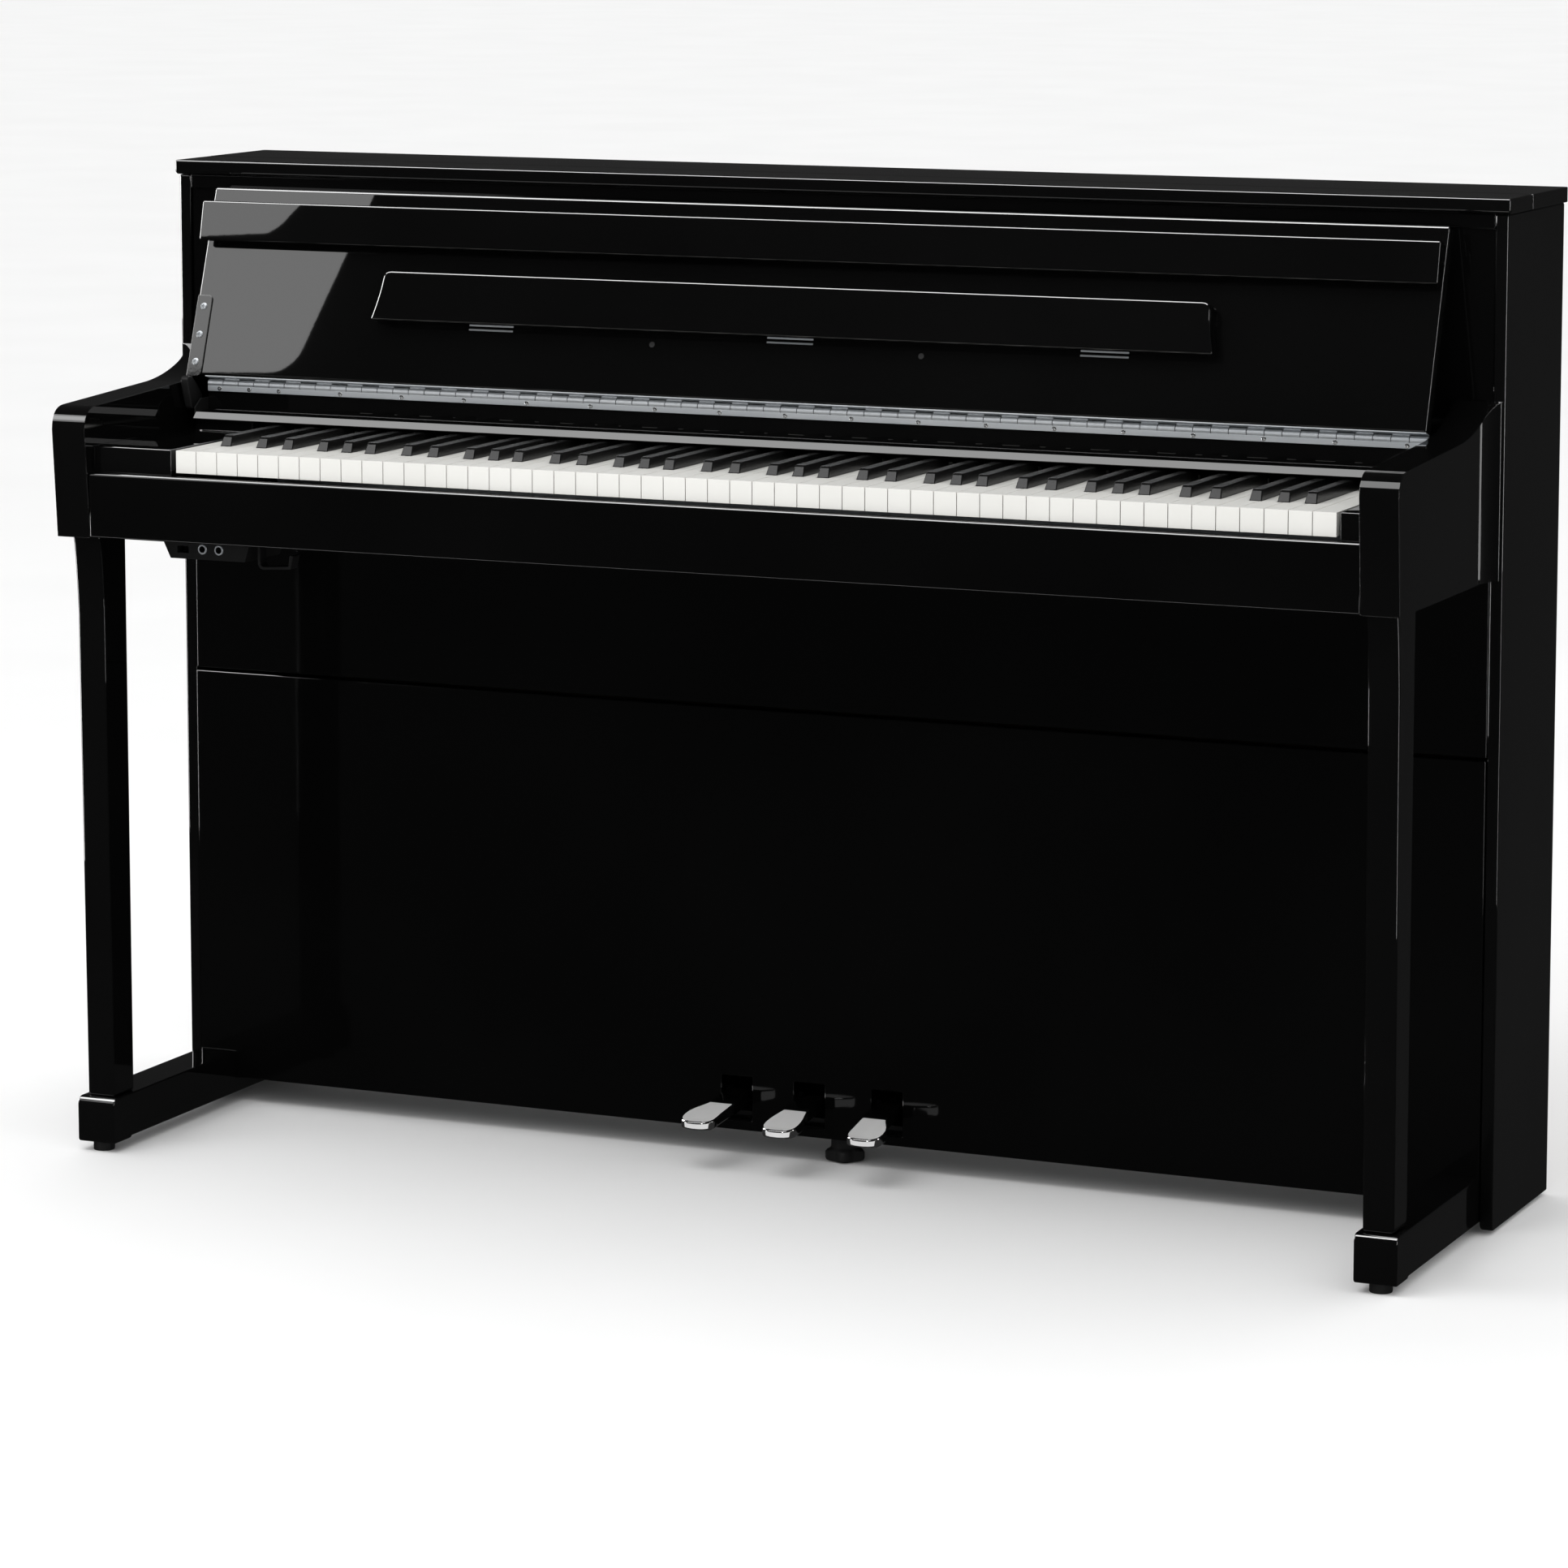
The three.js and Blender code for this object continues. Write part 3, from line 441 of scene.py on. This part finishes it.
softbox("toe_floor", (-0.1, -0.42, 0.012), (-0.1, -0.4199, 2), 0.9, 0.7, 0.8, "toes")
softbox("toe_left", (-2.6, -1.1, 0.5), (0, -0.3, 0.1), 0.7, 0.9, 1.6, "toes")
softbox("toe_spot", (1.1, -3.4, 1.9), (0, -0.3, 0.1), 0.5, 0.5, 12.0, "toes")
softbox("toe_high", (-0.9, -0.75, 3.0), (-0.9, -0.5, 0), 4.4, 1.6, 2.0, "toes")
softbox("satin_high", (-1.8, -2.6, 3.4), (-1.64, -0.1, 0.75), 4.2, 1.3, 3.0, "satin")
softbox("key_light", (-0.6, -1.4, 2.8), (0, 0, 0.7), 2.4, 1.2, 3.6, "matt")


# ---- case ----

CASE_EDGES = {
    "left_side_panel": 2.0,
    "right_side_panel": 2.0,
    "top_board_front": 2.0,
    "top_board_rear": 1.0,
    "upper_front_panel": 0.8,
    "knee_panel": 1.4,
    "lower_front_panel": 1.4,
    "left_arm": 2.2,
    "right_arm": 2.2,
    "left_leg": 2.4,
    "right_leg": 2.4,
    "left_foot": 2.2,
    "right_foot": 2.2,
    "key_bed": 1.6,
    "key_slip": 1.6,
    "hinge_board": 0.6,
    "lid_board": 2.4,
    "lid_lip": 2.4,
    "music_shelf": 2.6,
    "left_key_block": 1.4,
    "right_key_block": 1.0,
    "back_panel": 0.5,
    "bottom_board": 0.6,
    "jack_box": 1.0,
    "headphone_hook": 0.9,
    "damper_lever": 1.6,
    "soft_fall_damper": 0.6,
    "lid_bracket_plate": 0.5,
    "pedal_box": 0.5,
    "power_button": 0.8,
    "left_front_glide": 1.0,
    "right_front_glide": 1.0,
    "left_rear_glide": 1.0,
    "right_rear_glide": 1.0,
    "left_speaker": 0.6,
    "right_speaker": 0.6,
    "key_frame": 0.6,
}
DULLER = {"knee_panel", "lower_front_panel", "upper_front_panel", "key_slip", "key_bed"}

OWN_MATERIAL = {
    "lid_bracket_plate": BRACKET,
    "left_key_block": LACQUER,
    "right_key_block": LACQUER,
    "bottom_board": PANEL,
}

for node_name, edge in CASE_EDGES.items():
    special = PANEL if node_name in DULLER else OWN_MATERIAL.get(node_name)
    finish_node(node_name, edge * MM, material=special)

circuit = frame["nodes"]["main_circuit_board"]
circuit.data.materials.clear()
circuit.data.materials.append(CIRCUIT)


# ---- keys ----

NOTES = "ABCDEFG"
BLACK_AFTER = {"A": 3, "C": -3, "D": 3, "F": -4, "G": 0}
WHITES = 52
MIDDLE = range(23, 30)
PITCH = 23.5 * MM
KEY_SLOT = 0.9 * MM
white_low, white_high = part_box("bass_white_keys")
black_low, black_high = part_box("bass_black_keys")
KEY_LEFT = white_low.x - KEY_SLOT / 2
KEY_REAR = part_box("key_c")[1].y
BLACK_FRONT = black_low.y
BLACK_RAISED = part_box("key_c_sharp")[1].y - 40 * MM
BLACK_BASE = 12.2 * MM
BLACK_CROWN = 9.6 * MM
NOTCH_HALF = 6.7 * MM


def note_of(index):
    return NOTES[index % 7]


def joint_x(index):
    return KEY_LEFT + index * PITCH


def black_x(index):
    return joint_x(index + 1) + BLACK_AFTER[note_of(index)] * MM


def has_black(index):
    return 0 <= index < WHITES - 1 and note_of(index) in BLACK_AFTER


def key_node(index, colour):
    """The CAD node that stands for a key: its own in the middle octave, a bank elsewhere."""
    if index in MIDDLE:
        note = note_of(index).lower()
        return f"key_{note}" if colour == "white" else f"key_{note}_sharp"
    side = "bass" if index < MIDDLE[0] else "treble"
    return f"{side}_{colour}_keys"


def white_key(index):
    left = joint_x(index) + KEY_SLOT / 2
    right = joint_x(index + 1) - KEY_SLOT / 2
    tail_left = max(left, black_x(index - 1) + NOTCH_HALF) if has_black(index - 1) else left
    tail_right = min(right, black_x(index) - NOTCH_HALF) if has_black(index) else right
    shoulder = BLACK_FRONT - 2 * MM
    corners = [(left, white_low.y), (right, white_low.y), (right, shoulder), (tail_right, shoulder),
               (tail_right, KEY_REAR), (tail_left, KEY_REAR), (tail_left, shoulder), (left, shoulder)]
    outline = [p for i, p in enumerate(corners) if math.dist(p, corners[i - 1]) > 1e-6]
    bm = bmesh.new()
    add_prism(bm, outline, "z", white_low.z, white_high.z)
    round_edges(bm, 0.8 * MM, 3)
    node = key_node(index, "white")
    obj = to_object(f"white_key_{index + 1:02d}", bm, IVORY, BODY_OF[node])
    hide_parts(node)


def black_key(index):
    """A black key, tapered towards its crown, with a sloping rounded front."""
    x = black_x(index)
    base, crown = black_low.z, black_high.z
    foot = white_high.z
    bm = bmesh.new()
    sections = [
        (BLACK_FRONT, base, foot, BLACK_BASE, BLACK_BASE),
        (BLACK_FRONT + 5.2 * MM, base, crown - 1.4 * MM, BLACK_BASE, BLACK_CROWN + 0.4 * MM),
        (BLACK_FRONT + 7.2 * MM, base, crown, BLACK_BASE, BLACK_CROWN),
        (BLACK_RAISED, base, crown, BLACK_BASE, BLACK_CROWN),
    ]
    loops = []
    for y, low, high, wide, narrow in sections:
        corners = ((-wide / 2, low), (wide / 2, low), (wide / 2, min(high, foot)), (narrow / 2, high),
                   (-narrow / 2, high), (-wide / 2, min(high, foot)))
        loops.append([bm.verts.new((x + dx, y, z)) for dx, z in corners])
    for near, far in zip(loops, loops[1:]):
        bridge(bm, near, far)
    bm.faces.new(list(reversed(loops[0])))
    bm.faces.new(loops[-1])
    bmesh.ops.remove_doubles(bm, verts=bm.verts, dist=1e-6)
    bmesh.ops.dissolve_degenerate(bm, edges=bm.edges, dist=1e-7)
    round_edges(bm, 0.9 * MM, 3, angle=20)
    tail = bmesh.new()
    add_box(tail, (x - 4 * MM, BLACK_RAISED - 1 * MM, base), (x + 4 * MM, KEY_REAR, foot - 4 * MM))
    spare = bpy.data.meshes.new("tail")
    tail.to_mesh(spare)
    tail.free()
    bm.from_mesh(spare)
    bpy.data.meshes.remove(spare)
    node = key_node(index, "black")
    obj = to_object(f"black_key_{index + 1:02d}", bm, EBONY, BODY_OF[node])
    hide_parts(node)


for key_index in range(WHITES):
    white_key(key_index)
    if has_black(key_index):
        black_key(key_index)


# ---- key cover hinge ----

leaf_low, leaf_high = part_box("lid_hinge_fixed_leaf")
KNUCKLES = 73
KNUCKLE_R = 4.2 * MM
KNUCKLE_GAP = 0.25 * MM
PIN_R = 1.4 * MM
LEAF_THICK = 1.2 * MM
LEAF_EDGE = 0.3 * MM
SCREW_R = 2.5 * MM
SCREW_SUNK = 0.4 * MM
pitch = (leaf_high.x - leaf_low.x) / KNUCKLES


def knuckle_span(i):
    return leaf_low.x + i * pitch + KNUCKLE_GAP, leaf_low.x + (i + 1) * pitch - KNUCKLE_GAP


def add_knuckles(bm, first):
    for i in range(first, KNUCKLES, 2):
        x0, x1 = knuckle_span(i)
        add_rod(bm, KNUCKLE_R, (x0, hinge_at.y, hinge_at.z), (x1, hinge_at.y, hinge_at.z), 18)


def add_lid_prism(bm, outline, x0, x1):
    """A bar along x whose section is given in millimetres in the cover's own frame."""
    points = [on_lid(0, y * MM, z * MM) for y, z in outline]
    add_prism(bm, [(p.y, p.z) for p in points], "x", x0, x1)


def fixed_leaf():
    bm = bmesh.new()
    front = leaf_low.y
    add_box(bm, (leaf_low.x, front, leaf_low.z), (leaf_high.x, front + LEAF_THICK, hinge_at.z - 2.2 * MM))
    pin_start = (leaf_low.x + 1 * MM, hinge_at.y, hinge_at.z)
    pin_end = (leaf_high.x - 1 * MM, hinge_at.y, hinge_at.z)
    add_rod(bm, PIN_R, pin_start, pin_end)
    add_knuckles(bm, 0)
    round_edges(bm, LEAF_EDGE, 2, angle=40)
    obj = to_object("hinge_leaf_fixed", bm, STEEL, "case")
    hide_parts("lid_hinge_fixed_leaf")
    screws = bmesh.new()
    first, last, steps = leaf_low.x + 84 * MM, leaf_high.x - 20 * MM, 17
    rest = [first + (last - first) * i / steps for i in range(steps + 1)]
    for x in [leaf_low.x + 14 * MM, leaf_low.x + 49 * MM, *rest]:
        add_screw(screws, (x, front + SCREW_SUNK, leaf_low.z + 2.9 * MM), (0, -1, 0), SCREW_R)
    to_object("hinge_screws", screws, CHROME, "case")


def moving_leaf():
    bm = bmesh.new()
    strap = ((-2.1, 2.0), (-1.2, 2.4), (-1.2, 4.8), (-2.1, 4.8))
    for i in range(1, KNUCKLES, 2):
        add_lid_prism(bm, strap, *knuckle_span(i))
    add_knuckles(bm, 1)
    plate = ((-11, 4.5), (-0.5, 4.5), (-0.5, 5.4), (-11, 5.4))
    add_lid_prism(bm, plate, leaf_low.x, leaf_high.x)
    round_edges(bm, LEAF_EDGE, 2, angle=40)
    obj = to_object("hinge_leaf_moving", bm, STEEL, "key_cover")
    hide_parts("lid_hinge_moving_leaf")


fixed_leaf()
moving_leaf()


# ---- details on the cover ----


def bracket_screws():
    bm = bmesh.new()
    x, plate_front, radius = -661.5 * MM, -13.4 * MM, 3.8 * MM
    for z in (78, 48, 19):
        add_screw(bm, on_lid(x, plate_front, z * MM), OUTWARD, radius)
    to_object("bracket_screws", bm, STEEL, "key_cover")


def shelf_hinges():
    """Three small hinge leaves let in below the music shelf, and two flush buffers that it rests on."""
    bm = bmesh.new()
    leaf = ((-12.2, 64.4), (-11.5, 64.4), (-11.5, 66.2), (-12.2, 66.2))
    for x in (-326, 6, 339):
        add_lid_prism(bm, leaf, (x - 25) * MM, (x + 25) * MM)
    to_object("shelf_hinge_leaves", bm, STEEL, "key_cover")
    bumps = bmesh.new()
    for x in (-144, 148):
        at = on_lid(x * MM, LID_FRONT, 58 * MM)
        add_rod(bumps, 3.0 * MM, at - OUTWARD * 1.0 * MM, at + OUTWARD * 0.2 * MM, 16)
    to_object("shelf_buffers", bumps, RUBBER, "key_cover")


bracket_screws()
shelf_hinges()


# ---- pedals ----


def pedal(node):
    """A nickel-plated toe whose upward faces take a pale, part-matt nickel as a painted sheen, on a black bar that
    runs back to its axle.
    """
    toe_length, gap, lit_top_slope = 54 * MM, 0.3 * MM, 0.95
    low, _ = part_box(node)
    source = bmesh.new()
    source.from_mesh(frame["nodes"][node].data)
    bmesh.ops.remove_doubles(source, verts=source.verts, dist=SAME_POINT)
    toe_end = low.y + toe_length
    bar = source.copy()
    for bm, inner, normal in ((source, toe_end, 1), (bar, toe_end + gap, -1)):
        whole = bm.verts[:] + bm.edges[:] + bm.faces[:]
        cut = bmesh.ops.bisect_plane(bm, geom=whole, plane_co=(0, inner, 0), plane_no=(0, normal, 0),
                                     clear_outer=True)
        rim = [e for e in cut["geom_cut"] if isinstance(e, bmesh.types.BMEdge)]
        bmesh.ops.edgenet_fill(bm, edges=rim)
        bmesh.ops.dissolve_limit(bm, angle_limit=FLAT_ANGLE, verts=bm.verts, edges=bm.edges)
    round_edges(source, 2.2 * MM, 4)
    round_edges(bar, 0.8 * MM, 2)
    toe = to_object(f"{node}_toe", source, CHROME, BODY_OF[node])
    toe.data.materials.append(NICKEL_PAINTED_SHEEN)
    # Faces turned upwards take the pale nickel: a painted sheen on the toe's top.
    for face in toe.data.polygons:
        face.material_index = int(face.normal.z > lit_top_slope)
    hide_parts(node)
    to_object(f"{node}_bar", bar, PANEL, BODY_OF[node])


def star_knob():
    """The adjuster: a five-lobed grip under a round boss, from rings of (radius, height, lobe depth)."""
    low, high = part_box("pedal_adjuster")
    centre = (low + high) / 2
    reach = (high.x - low.x) / 2
    sides, points = 60, 5
    rings = [(0.82, 0.0, 0.14), (0.95, 0.03, 0.20), (1.0, 0.09, 0.24), (1.0, 0.25, 0.24), (0.92, 0.31, 0.20),
             (0.72, 0.35, 0.0), (0.69, 0.39, 0.0), (0.69, 0.94, 0.0), (0.63, 1.0, 0.0)]
    bm = bmesh.new()
    loops = []
    for size, height, lobes in rings:
        loop = []
        for i in range(sides):
            a = 2 * math.pi * i / sides
            r = reach * size * (1 - lobes * (0.5 - 0.5 * math.cos(points * a)))
            z = low.z + (high.z - low.z) * height
            loop.append(bm.verts.new((centre.x + r * math.cos(a), centre.y + r * math.sin(a), z)))
        loops.append(loop)
    for lower, upper in zip(loops, loops[1:]):
        bridge(bm, lower, upper)
    bm.faces.new(list(reversed(loops[0])))
    bm.faces.new(loops[-1])
    knob = to_object("adjuster_star_knob", bm, RUBBER, BODY_OF["pedal_adjuster"], smooth=50.0)
    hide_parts("pedal_adjuster")


for where in ("left", "middle", "right"):
    pedal(f"{where}_pedal")
star_knob()


# ---- sockets, back and underside ----


def jack_rings():
    """A steel ring round each headphone socket."""
    outer, inner, sides = 5.2 * MM, 3.5 * MM, 24
    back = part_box("jack_box")[0].y
    front = back - 0.8 * MM
    profile = ((outer, back), (outer - 0.5 * MM, front), (inner, front), (inner, back))
    turns = [2 * math.pi * i / sides for i in range(sides)]
    bm = bmesh.new()
    for opening in frame["record"]["physics"]["openings"]:
        if not opening["name"].startswith("headphone"):
            continue
        a, b = opening["box_m"]
        x, z = (a[0] + b[0]) / 2, (a[2] + b[2]) / 2
        rings = [[bm.verts.new((x + radius * math.cos(t), y, z + radius * math.sin(t))) for t in turns]
                 for radius, y in profile]
        for near, far in zip(rings, rings[1:] + rings[:1]):
            bridge(bm, near, far)
    to_object("jack_rings", bm, STEEL, "case")


def back_screws():
    """Screws round the edge of the back panel."""
    low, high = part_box("back_panel")
    bm = bmesh.new()
    inset, radius = 14 * MM, 3.6 * MM
    across, up = 8, 5
    for i in range(across + 1):
        for j in range(up + 1):
            if 0 < i < across and 0 < j < up:
                continue
            x = low.x + inset + (high.x - low.x - 2 * inset) * i / across
            z = low.z + inset + (high.z - low.z - 2 * inset) * j / up
            add_screw(bm, (x, high.y, z), (0, 1, 0), radius)
    to_object("back_screws", bm, STEEL, "case")


jack_rings()
back_screws()

for node_name, obj in frame["nodes"].items():
    if not obj.hide_render:
        obj.data.materials.clear()
        obj.data.materials.append(SLOT_MATERIAL[SLOT_OF[node_name]])


# ---- which lights show in which surfaces ----

for obj in [o for o in bpy.context.scene.objects if o.type == "MESH" and o.name != "floor"]:
    finish = obj.data.materials[0]
    polished = finish in (LACQUER, PANEL, BRACKET)
    kind = "polished" if polished else "metal" if finish == STEEL else "toes" if finish == CHROME else "satin"
    RECEIVERS[kind].objects.link(obj)
    if obj.name.startswith(("left_arm", "right_arm", "key_slip")):
        RECEIVERS["rims"].objects.link(obj)
    if polished:
        arm, sill = obj.name.startswith(("left_arm", "right_arm")), obj.name.startswith("hinge_board")
        RECEIVERS["arms" if arm else "sill" if sill else "boards"].objects.link(obj)
